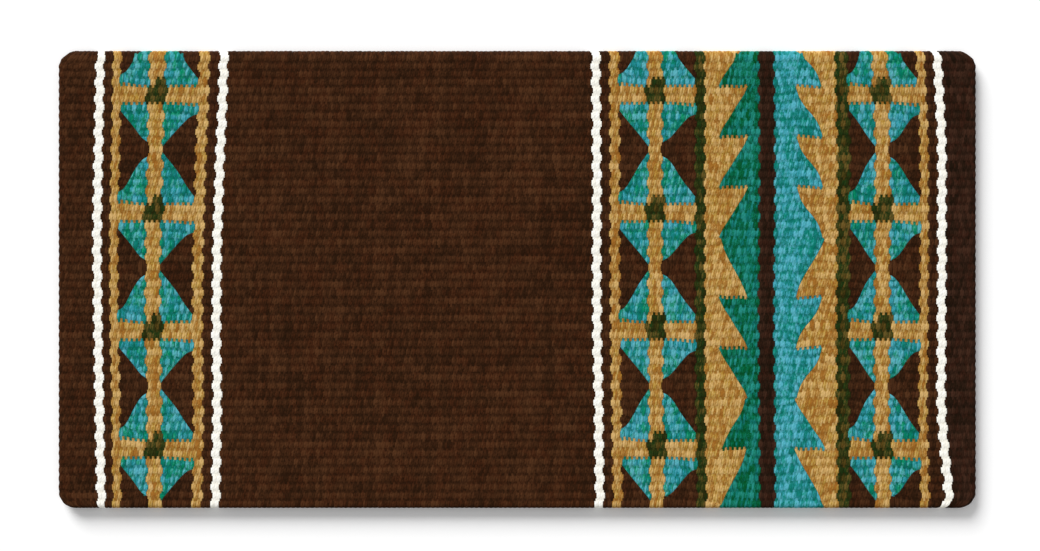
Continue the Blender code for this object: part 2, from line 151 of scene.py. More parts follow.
# How far the stripes waver from straight, in metres, at even steps from the fold to the selvage, and the
# share of that way over which the waver is smoothed
STRIPE_LEANS = {
    "cream_1": (0.0036, 0.0018, 0.0002, 0.0014, 0.0026, 0.0046),
    "tan_1": (0.0038, 0.0018, -0.0001, 0.0007, 0.0020, 0.0033),
    "cream_2": (0.0075, 0.0042, 0.0011, -0.0002, 0.0012, -0.0012),
    "cream_3": (-0.0016, -0.0009, -0.0010, -0.0004, 0.0008, 0.0022),
    "dark_stripe": (0.0001, 0.0010, 0.0006, 0.0000, 0.0007, 0.0014),
    "tan_4": (-0.0036, 0.0013, 0.0012, 0.0004, -0.0002, 0.0020),
    "cream_4": (-0.0030, 0.0022, 0.0021, 0.0015, 0.0013, 0.0105),
}
LEAN_SMOOTHING = 0.07
LEAN_SAMPLES = 9

# How far the borders of these stripes draw in on either side, in metres
STRIPE_SQUEEZE = 0.0007

# The borders of the last tan stripe move forward, which leaves four picks of brown between it and the cream
MOVED_BORDERS = (362, 366)
MOVED_PICKS = 2

# The yarns' colours as they look on screen, from 0 to 1: the main one, a deep and a light one that its tones
# go towards by chance and that also give its painted shade and painted light, and its fleck
YARNS = {
    "brown": ((0.24, 0.134, 0.062), (0.145, 0.075, 0.02), (0.325, 0.198, 0.108), (0.268, 0.12, 0.042)),
    "cream": ((0.985, 0.975, 0.940), (0.95, 0.93, 0.87), (1.0, 1.0, 0.99), (0.98, 0.97, 0.92)),
    "tan": ((0.715, 0.556, 0.285), (0.59, 0.365, 0.11), (0.84, 0.69, 0.45), (0.70, 0.58, 0.22)),
    "olive": ((0.315, 0.245, 0.075), (0.14, 0.14, 0.02), (0.43, 0.34, 0.15), (0.09, 0.215, 0.065)),
    "dark": ((0.182, 0.107, 0.064), (0.1, 0.06, 0.018), (0.264, 0.163, 0.112), (0.222, 0.096, 0.048)),
    "green": ((0.01, 0.42, 0.29), (0.0, 0.31, 0.12), (0.16, 0.56, 0.52), (0.06, 0.47, 0.46)),
    "turquoise": ((0.195, 0.595, 0.650), (0.0, 0.44, 0.38), (0.37, 0.71, 0.79), (0.0, 0.55, 0.44)),
    "wing": ((0.155, 0.570, 0.635), (0.0, 0.44, 0.36), (0.38, 0.70, 0.76), (0.0, 0.56, 0.36)),
    "cord": ((0.72, 0.66, 0.55), (0.55, 0.49, 0.38), (0.82, 0.77, 0.67), (0.72, 0.66, 0.55)),
}

# Each area of one yarn: the yarn, the record's material slot and the frame's node that it stands for
AREAS = {
    "front_border": ("brown", "brown_wool", "front_border"),
    "cream_1": ("cream", "cream_wool", "cream_1"),
    "brown_1": ("brown", "brown_wool", "brown_1"),
    "tan_1": ("tan", "tan_wool", "tan_1"),
    "front_ground": ("brown", "motif_wool", "front_motif"),
    "front_crosses": ("tan", "motif_wool", "front_motif"),
    "front_wings": ("wing", "motif_wool", "front_motif"),
    "front_squares": ("olive", "motif_wool", "front_motif"),
    "tan_2": ("tan", "tan_wool", "tan_2"),
    "brown_2": ("brown", "brown_wool", "brown_2"),
    "cream_2": ("cream", "cream_wool", "cream_2"),
    "centre_front": ("brown", "brown_wool", "centre_panel"),
    "centre_rear": ("brown", "brown_wool", "centre_panel"),
    "cream_3": ("cream", "cream_wool", "cream_3"),
    "brown_3": ("brown", "brown_wool", "brown_3"),
    "tan_3": ("tan", "tan_wool", "tan_3"),
    "middle_ground": ("brown", "motif_wool", "middle_motif"),
    "middle_crosses": ("tan", "motif_wool", "middle_motif"),
    "middle_wings": ("wing", "motif_wool", "middle_motif"),
    "middle_squares": ("olive", "motif_wool", "middle_motif"),
    "olive_1": ("olive", "olive_wool", "olive_1"),
    "front_tan_teeth": ("tan", "tan_wool", "front_tan_teeth"),
    "green_teeth": ("green", "green_wool", "green_teeth"),
    "dark_stripe": ("dark", "dark_brown_wool", "dark_stripe"),
    "turquoise_teeth": ("turquoise", "turquoise_wool", "turquoise_teeth"),
    "rear_tan_teeth": ("tan", "tan_wool", "rear_tan_teeth"),
    "olive_2": ("olive", "olive_wool", "olive_2"),
    "rear_ground": ("brown", "motif_wool", "rear_motif"),
    "rear_crosses": ("tan", "motif_wool", "rear_motif"),
    "rear_wings": ("wing", "motif_wool", "rear_motif"),
    "rear_squares": ("olive", "motif_wool", "rear_motif"),
    "tan_4": ("tan", "tan_wool", "tan_4"),
    "brown_4": ("brown", "brown_wool", "brown_4"),
    "cream_4": ("cream", "cream_wool", "cream_4"),
    "rear_border": ("dark", "brown_wool", "rear_border"),
}
AREA_NUMBERS = {name: number for number, name in enumerate(AREAS)}
FOLD_NODES = {
    "fold_front_border": ("front_border",),
    "fold_front_band": ("cream_1", "brown_1", "tan_1", "front_motif", "tan_2", "brown_2", "cream_2"),
    "fold_centre": ("centre_panel",),
    "fold_middle_band": ("cream_3", "brown_3", "tan_3", "middle_motif"),
    "fold_tooth_band": (
        "olive_1", "front_tan_teeth", "green_teeth", "dark_stripe", "turquoise_teeth", "rear_tan_teeth",
        "olive_2",
    ),
    "fold_rear_band": ("rear_motif", "tan_4", "brown_4", "cream_4"),
    "fold_rear_border": ("rear_border",),
}

# A sheet is this wide at least, in metres, and fills this share of its width. Other areas are parts of one
WIDE_ENOUGH_FOR_A_SHEET = 0.02
FULL_ENOUGH_FOR_A_SHEET = 0.55

# The flat map for painting, in columns of the grid: the space between parts, and the side strips' width
BAKE_MARGIN = 4
BAKE_STRIP = 0.3

# The scales of the wool's textures: the first over a float, across and along it, and the rest over a metre
# of cloth. A ply leans by some picks over one rib
FIBRES_ACROSS, FIBRES_ALONG = 5, 3.4
STRANDS_ACROSS, STRANDS_ALONG = 14, 2.2
PLY_LEAN = 0.8
ROWS_SCALE = 22
GRAIN_SCALE = 210.0
SPECKS_SCALE = 300.0
BROAD_SCALE = 24.0

# How far the wool goes over to its light or deep colour at most, and what is left of the deep one in the
# painted shade of a dip
STRAY = 0.9
PAINTED_SHADE_SHARE = 0.22

# The scale of the warp cord's fibres over a metre, and how far its plies turn in one, in radians
CORD_FIBRES = 2600.0
CORD_TWIST_X, CORD_TWIST_Y = 2100, 1300

# The stage, in metres and degrees. The key light comes from one direction and the sky's light from all round
FLOOR_SIZE = 8
FLOOR_COLOUR = (1.0, 1.0, 1.0)
SKY_STRENGTH = 0.44
SUN_STRENGTH = 3.75
SUN_SPREAD = 38
LIGHT_FROM = (-0.55, 1.0, 0.64)
FLOOR_GLOW = 0.06
CAMERA_X, CAMERA_Y = 0.0026, 0.0035
CAMERA_HEIGHT = 2.3098
LENS = 85


def linear(colour):
    """A screen colour as the linear values that the shaders take."""
    return tuple(c / 12.92 if c <= 0.04045 else ((c + 0.055) / 1.055) ** 2.4 for c in colour)


class BlanketCloth(bpy.types.PropertyGroup):
    """What the loom and the yarn give the cloth."""

    relief: FloatProperty(
        name="Relief", description="Height of a rib's crown over its grooves",
        default=0.0012, min=0, max=0.003, unit="LENGTH",
    )
    float_dip: FloatProperty(
        name="Dip between floats", description="Share of the relief that the cloth sinks between two floats",
        default=0.3, min=0, max=1, subtype="FACTOR",
    )
    unevenness: FloatProperty(
        name="Unevenness", description="Share of the relief by which one float stands higher than another",
        default=0.22, min=0, max=1, subtype="FACTOR",
    )
    wander: FloatProperty(
        name="Wander", description="How far picks and ribs wander from their straight lines",
        default=0.0004, min=0, max=0.002, unit="LENGTH",
    )
    edge_scallop: FloatProperty(
        name="Edge scallop", description="How far the edge draws in between two ribs or floats",
        default=0.0006, min=0, max=0.002, unit="LENGTH",
    )
    edge_thickness: FloatProperty(
        name="Edge thickness", description="Thickness left where the rounded edge ends",
        default=0.0012, min=0.0004, max=0.004, unit="LENGTH",
    )
    seed: IntProperty(name="Seed", description="Which chance unevenness the yarns get", default=7, min=0)


class BlanketColours(bpy.types.PropertyGroup):
    """The dyed yarns."""

    brown: FloatVectorProperty(
        name="Brown", description="Ground and borders", subtype="COLOR", default=linear(YARNS["brown"][0])
    )
    cream: FloatVectorProperty(
        name="Cream", description="Narrow light stripes", subtype="COLOR", default=linear(YARNS["cream"][0])
    )
    tan: FloatVectorProperty(
        name="Tan", description="Crosses and teeth", subtype="COLOR", default=linear(YARNS["tan"][0])
    )
    olive: FloatVectorProperty(
        name="Olive", description="Squares and stripes", subtype="COLOR", default=linear(YARNS["olive"][0])
    )
    dark: FloatVectorProperty(
        name="Dark brown", description="Stripe between the teeth", subtype="COLOR",
        default=linear(YARNS["dark"][0]),
    )
    green: FloatVectorProperty(
        name="Green", description="Front teeth", subtype="COLOR", default=linear(YARNS["green"][0])
    )
    turquoise: FloatVectorProperty(
        name="Turquoise", description="Rear teeth", subtype="COLOR", default=linear(YARNS["turquoise"][0])
    )
    wing: FloatVectorProperty(
        name="Wing heather", description="Wings of the crosses", subtype="COLOR",
        default=linear(YARNS["wing"][0]),
    )
    cord: FloatVectorProperty(
        name="Warp cord", description="Hidden warp cords", subtype="COLOR", default=linear(YARNS["cord"][0])
    )


def spans_of(nodes):
    """Where each node of the near leaf lies along the blanket."""
    boxes = {node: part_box(f"near_{node}") for node in nodes}
    return {node: (low.x, high.x) for node, (low, high) in boxes.items()}


SPANS = spans_of(dict.fromkeys(node for _, _, node in AREAS.values()))


def pick_at(x):
    """The pick that begins nearest to a place along the blanket. Stripes change at every second pick."""
    pick = 2 * round((x + LENGTH / 2) / (2 * PICK))
    return pick - MOVED_PICKS if pick in MOVED_BORDERS else pick


PICK_SPANS = {node: (pick_at(low), pick_at(high)) for node, (low, high) in SPANS.items()}


def tooth_edge(rib, root, tip):
    """How far a tooth reaches from the dark stripe at one rib."""
    tooth = next(k for k, end in enumerate(TEETH_ENDS) if rib < end)
    end = TEETH_ENDS[tooth]
    start = TEETH_ENDS[tooth - 1] if tooth else end - TOOTH_RIBS
    share = (rib - start - 0.5) / (end - start - 1)
    if tooth in TEETH_TURNED_BACK:
        share = 1 - share
    return root + (tip - root) * share


def motif_area(column, rib, place):
    """The yarn area under one float of a motif column."""
    low, high = PICK_SPANS[f"{column}_motif"]
    stem = 2 * round((low + high) / 4) + STEM_SHIFTS[column]
    off_stem = abs(place - stem)
    half_stem = STEM_PICKS / 2
    cross = min(range(CROSSES), key=lambda k: abs(rib - FIRST_CROSS - k * CROSS_PITCH))
    from_cross = rib - FIRST_CROSS - cross * CROSS_PITCH
    if off_stem < half_stem + SQUARE_OVERLAP:
        ribs = SQUARE_RIBS["front" if place < stem + SQUARE_FRONT_ENDS else "rear"]
        if ARM_RIBS / 2 - ribs < from_cross < ARM_RIBS / 2:
            return "squares"
    if off_stem < half_stem or abs(from_cross) < ARM_RIBS / 2:
        return "crosses"
    rows = WING_RIBS["above" if from_cross < 0 else "below"]
    share = (abs(from_cross) - ARM_RIBS / 2 - 0.5) / (rows - 1)
    base = (high - stem if place > stem else stem - low) - half_stem
    if share <= 1 and off_stem - half_stem < base + (WING_TIP_PICKS - base) * share:
        return "wings"
    return "ground"


def area_at(rib, pick):
    """The name of the yarn area of one float."""
    place = pick + 0.5
    name = min(PICK_SPANS, key=lambda node: max(PICK_SPANS[node][0] - place, place - PICK_SPANS[node][1]))
    low, high = PICK_SPANS[name]
    if name.endswith("motif"):
        column = name.split("_")[0]
        return f"{column}_{motif_area(column, rib, place)}"
    if name == "centre_panel":
        return "centre_front" if place < (low + high) / 2 else "centre_rear"
    dark_low, dark_high = PICK_SPANS["dark_stripe"]
    if name in ("front_tan_teeth", "green_teeth"):
        inside = place > dark_low - tooth_edge(rib, GREEN_ROOT, GREEN_TIP) / PICK
        return "green_teeth" if inside else "front_tan_teeth"
    if name in ("turquoise_teeth", "rear_tan_teeth"):
        inside = place < dark_high + tooth_edge(rib, TURQUOISE_ROOT, TURQUOISE_TIP) / PICK
        return "turquoise_teeth" if inside else "rear_tan_teeth"
    return name


def weaving_chart():
    """The number of the yarn area of every float, as an array of ribs by picks."""
    chart = np.empty((RIBS + 1, PICKS), int)
    for rib in range(RIBS + 1):
        for pick in range(PICKS):
            chart[rib, pick] = AREA_NUMBERS[area_at(rib, pick)]
    return chart


def float_at(column, rib):
    """The pick whose float lies on a rib at a column. A float is four columns wide, a pick two."""
    odd = rib % 2
    return 2 * ((column + 1 - 2 * odd) // 4) + odd


class Loom:
    """Works out one leaf's cloth on a grid of columns and rows, from the fold to the selvage."""

    def __init__(self, side, cloth, chart):
        self.side, self.cloth, self.chart = side, cloth, chart
        self.random = np.random.default_rng(cloth.seed)
        self.tone = self.random.random((RIBS + 2, PICKS + 2 * SPARE_PICKS))
        self.pick_tone = self.random.random(PICKS + 2 * SPARE_PICKS)
        self.rib_tone = self.random.random(RIBS + 2)
        self.rim = self.rims()
        self.rows = self.row_places()
        self.own_quads()
        self.place_points()

    def row_places(self):
        """Every row of the grid, counted in ribs from the fold."""
        steps = ROWS[self.side]
        rows = [0] + [v for v in steps if v > 0]
        for rib in range(1, RIBS + 1):
            rows += [rib + v for v in steps]
        return np.array(rows[:-1] + [RIBS + SELVAGE_ROW, rows[-1]])

    def own_quads(self):
        """The float that each quad of the grid belongs to."""
        middle = (self.rows[:-1] + self.rows[1:]) / 2
        rib = np.rint(middle).astype(int)[:, None]
        column = np.arange(COLUMNS)[None, :]
        offset = middle[:, None] - rib
        beyond = np.where(offset > 0, rib + 1, rib - 1)
        near_groove = (np.abs(offset) > TIP_REACH) & (beyond <= RIBS) & (beyond >= 0)
        pick = column // 2
        shows_here = (pick + rib) % 2 == 0
        self.quad_rib = np.where(near_groove & ~shows_here, beyond, rib)
        self.quad_pick = np.where(near_groove, pick, float_at(column, rib))
        self.quad_area = self.chart[self.quad_rib, np.clip(self.quad_pick, 0, PICKS - 1)]

    def heights(self):
        """How far the cloth's face stands from its middle surface at every grid point."""
        column = np.arange(COLUMNS + 1)[None, :]
        best = np.zeros((len(self.rows), COLUMNS + 1))
        for shift in (0, 1):
            rib = np.clip(np.floor(self.rows).astype(int) + shift, 0, RIBS)[:, None]
            away = self.rows[:, None] - rib
            pick = float_at(column, rib)
            across = np.abs(column - (2 * pick + 1)) / 2
            crown = np.clip(1 - (away / FLOAT_REACH) ** 2, 0, 1) ** FLOAT_FALL
            own = crown * (1 - self.cloth.float_dip * across**2)
            uneven = 1 - self.cloth.unevenness * self.tone[rib, pick + SPARE_PICKS]
            best = np.maximum(best, own * uneven)
        return THICKNESS / 2 - self.cloth.relief * (1 - best)

    def wander(self, x, rows):
        """Slow waves by which picks and ribs leave their straight lines."""
        total = np.zeros((len(rows), len(x)))
        for length, share in WANDER_WAVES:
            phase = self.random.random(2) * math.tau
            along = np.sin(x[None, :] / length * math.tau + phase[0])
            total += share * along * np.sin(rows[:, None] * RIB / length * math.tau + phase[1])
        return total * self.cloth.wander

    def lean(self, x, reach):
        """How far the pattern leans at every grid point, from the waver of its stripes."""
        stations = np.linspace(0, 1, len(next(iter(STRIPE_LEANS.values()))))
        around = np.linspace(-LEAN_SMOOTHING, LEAN_SMOOTHING, LEAN_SAMPLES)
        share = np.clip(reach[:, None] / CLOTH_REACH + around, 0, 1)
        places, leans = [-LENGTH / 2], [np.zeros(len(reach))]
        for node, lean in STRIPE_LEANS.items():
            low, high = (pick * PICK - LENGTH / 2 for pick in PICK_SPANS[node])
            smooth = np.interp(share, stations, lean).mean(1)
            shift = smooth + (sum(SPANS[node]) - low - high) / 2
            places += [low, high]
            leans += [shift + STRIPE_SQUEEZE, shift - STRIPE_SQUEEZE]
        places.append(LENGTH / 2)
        leans.append(np.zeros(len(reach)))
        return np.array([np.interp(x, places, row) for row in np.array(leans).T])

    def eased(self, places):
        """How far each point shifts so that a yarn area's steps lie as a slant, as beaten yarns do."""
        upright, level = (np.pad(self.slants(axis), 1) for axis in (1, 0))
        borders = upright[:-1], upright[1:], level[:, :-1], level[:, 1:]
        ties = np.sum(borders, axis=0)
        shift = before = np.zeros_like(places)
        for _ in range(EASING_ROUNDS):
            tied = sum(near * tie for near, tie in zip(self.beside(places + shift), borders))
            tied = tied / np.maximum(ties, 1)
            free = sum(self.beside(shift)) / 4
            eased = np.where(ties > 1, (shift + tied - places) / 2, free)
            shift, before = eased + (shift - before) * EASING_SWING, shift
        return shift

    def beside(self, values):
        """The values of the points above, below, before and after each one."""
        wide = np.pad(values, ((0, 0), (1, 1), (1, 1)), "edge")
        return wide[:, :-2, 1:-1], wide[:, 2:, 1:-1], wide[:, 1:-1, :-2], wide[:, 1:-1, 2:]

    def slants(self, axis):
        """Whether each two quads that lie side by side along an axis are parted by a slanting border."""
        parts = np.zeros(len(AREAS), int)
        for pair, names in enumerate(SLANTING):
            for side, name in zip((1, -1), names):
                parts[AREA_NUMBERS[name]] = side * (pair + 1)
        part = parts[self.quad_area]
        middle = (self.rows[:-1] + self.rows[1:]) / 2
        at_base = np.abs(middle[:, None] - np.array(TEETH_ENDS)).min(1) < BASE_RIBS
        part[at_base[:, None] & (np.abs(part) <= TEETH_PAIRS)] = 0
        one, other = (part[1:], part[:-1]) if axis == 0 else (part[:, 1:], part[:, :-1])
        return (one + other == 0) & (one != 0)

    def place_points(self):
        """The grid's points on both faces of the cloth."""
        x = np.linspace(-LENGTH / 2, LENGTH / 2, COLUMNS + 1)
        rows = self.rows
        crowding = CROWDING_AT_FOLD * (1 - np.exp(-rows / CROWDED_RIBS)) * (1 - rows / (RIBS + 0.5))
        reach = RIB * (rows - crowding)
        in_from_ends = np.clip((LENGTH / 2 - np.abs(x)) / WANDER_FROM_EDGES, 0, 1)[None, :]
        in_from_fold = np.clip(reach / WANDER_FROM_EDGES, 0, 1)[:, None]
        in_from_selvage = np.clip((CLOTH_REACH - reach) / WANDER_FROM_EDGES, 0, 1)[:, None]
        across = x[None, :] + self.lean(x, reach) + self.wander(x, rows) * in_from_ends
        along = reach[:, None] + self.wander(x, rows) * in_from_fold * in_from_selvage
        from_edges = np.clip(np.minimum(reach, CLOTH_REACH - reach) / EASED_FROM_EDGES, 0, 1)[:, None]
        across, along = np.stack([across, along]) + self.eased(np.stack([across, along])) * from_edges

        # The first stretch bends round the fold, and the rest lies flat
        angle = np.minimum(along / FOLD_RADIUS, math.pi / 2)
        flat = np.maximum(along - QUARTER_FOLD, 0)
        out_y, out_z = np.cos(angle), np.sin(angle)
        y = FOLD_Y + FOLD_RADIUS * out_y - flat

        # The outline draws in at the corners, between ribs at the ends, and between floats at the selvage
        groove = (1 - np.cos(2 * math.pi * rows)) / 2
        between = (1 - np.cos(math.pi * (np.arange(COLUMNS + 1) - 1 - 2 * (RIBS % 2)) / 2)) / 2
        half_length = LENGTH / 2 - self.drawn_in(y) - self.cloth.edge_scallop * groove[:, None]
        inner = LENGTH / 2 - DRAWN_END
        share = np.clip((np.abs(across) - inner) / (LENGTH / 2 - inner), 0, 1)
        drawn = np.where(share > 0, inner + share * (half_length - inner), np.abs(across))
        across = np.sign(across) * drawn
        from_end = half_length - drawn
        from_selvage = np.maximum(y - SELVAGE_Y, 0)
        near_selvage = np.clip(1 - from_selvage / SCALLOPED_SELVAGE, 0, 1)
        y = y + near_selvage * self.cloth.edge_scallop * between[None, :] * SELVAGE_SCALLOP

        # The cloth thins in a half round towards its edge
        edge = np.minimum(from_end, from_selvage)
        rounding = np.clip(1 - edge / (THICKNESS / 2), 0, 1)
        least = self.cloth.edge_thickness / 2
        half = least + (self.heights() - least) * np.sqrt(1 - rounding**2)
        side = SIDES[self.side]
        z = FOLD_Z + side * FOLD_RADIUS * out_z
        self.reach = along
        self.outer = np.stack([across, y + half * out_y, z + side * half * out_z], -1)
        self.inner = np.stack([across, y - half * out_y, z - side * half * out_z], -1)

    def drawn_in(self, y):
        """How far the rounded corners draw the ends in, at the cloth's middle surface."""
        total = np.zeros_like(y)
        fold_corner = CORNER_RADIUS - THICKNESS / 2
        for from_side, radius in ((FOLD_Y + FOLD_RADIUS - y, fold_corner), (y - SELVAGE_Y, CORNER_RADIUS)):
            inside = np.clip(radius - from_side, 0, radius)
            total += radius - np.sqrt(radius**2 - inside**2)
        return total

    def rims(self):
        """1 for each float that lies beside another yarn, otherwise 0."""
        kinds = list(YARNS)
        yarns = np.array([kinds.index(yarn) for yarn, _, _ in AREAS.values()])[self.chart]
        around = np.pad(yarns, ((1, 1), (2, 2)), "edge")
        rim = np.zeros(yarns.shape, bool)
        for ribs, picks in ((0, 2), (0, -2), (1, 1), (1, -1), (-1, 1), (-1, -1)):
            rim |= around[1 + ribs:RIBS + 2 + ribs, 2 + picks:PICKS + 2 + picks] != yarns
        return rim.astype(float)

    def is_wide(self, area):
        """Whether an area is wide enough to be a sheet of its own and not a stripe in one."""
        width, surface = self.cut_size(area)
        least_width = max(WIDE_ENOUGH_FOR_A_SHEET, FULL_ENOUGH_FOR_A_SHEET * width)
        return surface > least_width * CLOTH_REACH

    def cut_size(self, area):
        """An area's greatest width and its flat surface."""
        mine = self.quad_area == AREA_NUMBERS[area]
        columns = np.nonzero(mine.any(0))[0]
        depth = np.diff(self.reach[:, 0])
        return (columns.max() + 1 - columns.min()) * COLUMN, float((mine.sum(1) * depth).sum() * COLUMN)

    def weave(self, name, area):
        """One yarn area as a closed mesh: a face, a back and the sides between them."""
        mine = self.quad_area == AREA_NUMBERS[area]
        row, column = np.nonzero(mine)
        count = COLUMNS + 1
        corner = row * count + column
        loop = np.stack([corner, corner + count, corner + count + 1, corner + 1], 1)
        if self.side == "off":
            loop = loop[:, ::-1]
        padded = np.pad(mine, 1)
        walls, wall_quads = [], []
        for edge, (down, right) in enumerate(((0, -1), (1, 0), (0, 1), (-1, 0))):
            bare = ~padded[row + 1 + down, column + 1 + right]
            start = edge if self.side == "near" else (2 - edge) % 4
            walls.append(loop[bare][:, [(start + 1) % 4, start]])
            wall_quads.append([(quad, down, right) for quad in np.nonzero(bare)[0]])
        wall = np.concatenate(walls)

        # The quad that each wall belongs to, and the way it faces in rows and columns
        wall_of = np.array(sum(wall_quads, []))
        size = self.outer.shape[0] * count
        sides = np.concatenate([wall, wall[:, ::-1] + size], 1)
        quads = np.concatenate([loop, loop[:, ::-1] + size, sides])
        used, packed = np.unique(quads, return_inverse=True)
        points = np.concatenate([self.outer.reshape(-1, 3), self.inner.reshape(-1, 3)])[used]
        mesh = bpy.data.meshes.new(name)
        mesh.from_pydata(points, [], packed.reshape(-1, 4))
        source = np.concatenate([np.arange(len(loop)), np.arange(len(loop)), wall_of[:, 0]])
        self.add_maps(mesh, quads % size, source, row, column, len(loop), wall_of)
        mesh.shade_smooth()
        self.mark_sharp(mesh, np.arange(len(mesh.polygons)) >= 2 * len(loop))
        thing = bpy.data.objects.new(name, mesh)
        bpy.context.scene.collection.objects.link(thing)
        return thing

    def mark_sharp(self, mesh, is_side):
        """Keeps the shading of the faces apart from that of the sides."""
        edge_of_loop = np.empty(len(mesh.loops), int)
        mesh.loops.foreach_get("edge_index", edge_of_loop)
        touches = np.zeros((len(mesh.edges), 2), int)
        np.add.at(touches, (edge_of_loop, np.repeat(is_side, 4).astype(int)), 1)
        mesh.edges.foreach_set("use_edge_sharp", (touches > 0).all(1))

    def add_maps(self, mesh, corners, source, row, column, faces, wall_of):
        """The maps that the shaders read, and the flat one that a finished surface is painted on."""
        grid_row, grid_column = np.divmod(corners, COLUMNS + 1)
        rib = self.quad_rib[row, column][source][:, None]
        pick = self.quad_pick[row, column][source][:, None]
        tones = self.tone[rib, pick + SPARE_PICKS], self.rim[rib, np.clip(pick, 0, PICKS - 1)]
        lines = self.pick_tone[pick + SPARE_PICKS], self.rib_tone[rib]
        self.add_map(mesh, "float", (grid_column - 2 * pick - 1) / 2, self.rows[grid_row] - rib)
        self.add_map(mesh, "dye", *(value + 0 * corners for value in tones))
        self.add_map(mesh, "line", *(value + 0 * corners for value in lines))
        self.add_map(mesh, "cloth", grid_column * COLUMN, self.reach[grid_row, 0])

        # The flat map: chunks of face and back side by side, with the sides as strips along their rims
        low = column.min()
        width = (column.max() + 1 - low + BAKE_MARGIN) * COLUMN
        height = self.reach[-1, 0]
        chunks = max(1, round(math.sqrt(height / (2 * width))))
        chunk_rows = math.ceil(len(self.rows) / chunks)
        chunk = (row // chunk_rows)[source][:, None]
        back = np.concatenate([np.zeros(faces), np.ones(faces), np.zeros(len(wall_of))])[:, None]
        first_reach = self.reach[np.minimum(chunk * chunk_rows, len(self.rows) - 1), 0]
        u = (grid_column - low + BAKE_MARGIN / 2) * COLUMN + (2 * chunk + back) * width
        v = self.reach[grid_row, 0] - first_reach
        out = np.zeros_like(u)
        out[2 * faces:, 2:] = BAKE_STRIP * COLUMN
        u[2 * faces:] += out[2 * faces:] * wall_of[:, 2:3]
        v[2 * faces:] += out[2 * faces:] * wall_of[:, 1:2]
        full = max(2 * chunks * width, v.max() + 2 * COLUMN)
        self.add_map(mesh, "OFBake", u / full, (v + COLUMN) / full)

    def add_map(self, mesh, name, u, v):
        """One map, from the two numbers of every face's corners."""
        layer = mesh.uv_layers.new(name=name)
        layer.data.foreach_set("uv", np.stack([u, v], -1).astype(np.float32).ravel())


class Value:
    """A shader socket that can be used in sums, such as 1 - mask * 0.3."""

    def __init__(self, finish, socket):
        self.finish, self.socket = finish, socket

    def sum(self, operation, other, turned=False):
        pair = (other, self) if turned else (self, other)
        return self.finish.node("ShaderNodeMath", {"operation": operation}, *pair)

    def __add__(self, other):
        return self.sum("ADD", other)

    def __sub__(self, other):
        return self.sum("SUBTRACT", other)

    def __rsub__(self, other):
        return self.sum("SUBTRACT", other, turned=True)

    def __mul__(self, other):
        return self.sum("MULTIPLY", other)

    __radd__, __rmul__ = __add__, __mul__

    def size(self):
        return self.finish.node("ShaderNodeMath", {"operation": "ABSOLUTE"}, self)

    def wave(self):
        return self.finish.node("ShaderNodeMath", {"operation": "SINE"}, self)

    def ramp(self, low, high):
        """0 at low, 1 at high and smooth between them."""
        settings = {"interpolation_type": "SMOOTHSTEP"}
        return self.finish.node("ShaderNodeMapRange", settings, self, low, high, 0.0, 1.0)


class Finish:
    """One procedural material."""

    def __init__(self, name):
        self.material = bpy.data.materials.new(name)
        self.material.use_nodes = True
        self.tree = self.material.node_tree
        self.surface = self.tree.nodes["Principled BSDF"]

    def node(self, kind, settings, *values, output=0, **named):
        """Adds a node. Its settings are set first, then its sockets get their values or links."""
        node = self.tree.nodes.new(kind)
        for key, setting in settings.items():
            setattr(node, key, setting)
        for key, value in [*enumerate(values), *named.items()]:
            self.give(node.inputs[key], value)
        return Value(self, node.outputs[output])

    def map(self, name):
        """The two numbers of one of the cloth's maps."""
        place = self.node("ShaderNodeUVMap", {"uv_map": name})
        return [self.node("ShaderNodeSeparateXYZ", {}, place, output=axis) for axis in ("X", "Y")]

    def mix(self, share, first, second):
        """A share of the way from one colour to another. The sockets go by number, as their names repeat."""
        node = self.tree.nodes.new("ShaderNodeMix")
        node.data_type = "RGBA"
        colours = [colour if isinstance(colour, Value) else (*colour[:3], 1) for colour in (first, second)]
        for socket, value in zip((0, 6, 7), (share, *colours)):
            self.give(node.inputs[socket], value)
        return Value(self, node.outputs[2])

    def noise(self, place, scale, detail=2.0):
        return self.node(
            "ShaderNodeTexNoise", {"noise_dimensions": "3D"}, Vector=place, Scale=scale, Detail=detail
        )

    def vector(self, x, y, z=0.0):
        return self.node("ShaderNodeCombineXYZ", {}, x, y, z)

    def set(self, **values):
        """Links or sets sockets of the surface's own shader."""
        for name, value in values.items():
            self.give(self.surface.inputs[name.replace("_", " ")], value)

    def give(self, socket, value):
        """Links a socket to a value of the shader, or sets it to a plain one."""
        if isinstance(value, Value):
            self.tree.links.new(value.socket, socket)
        else:
            socket.default_value = value


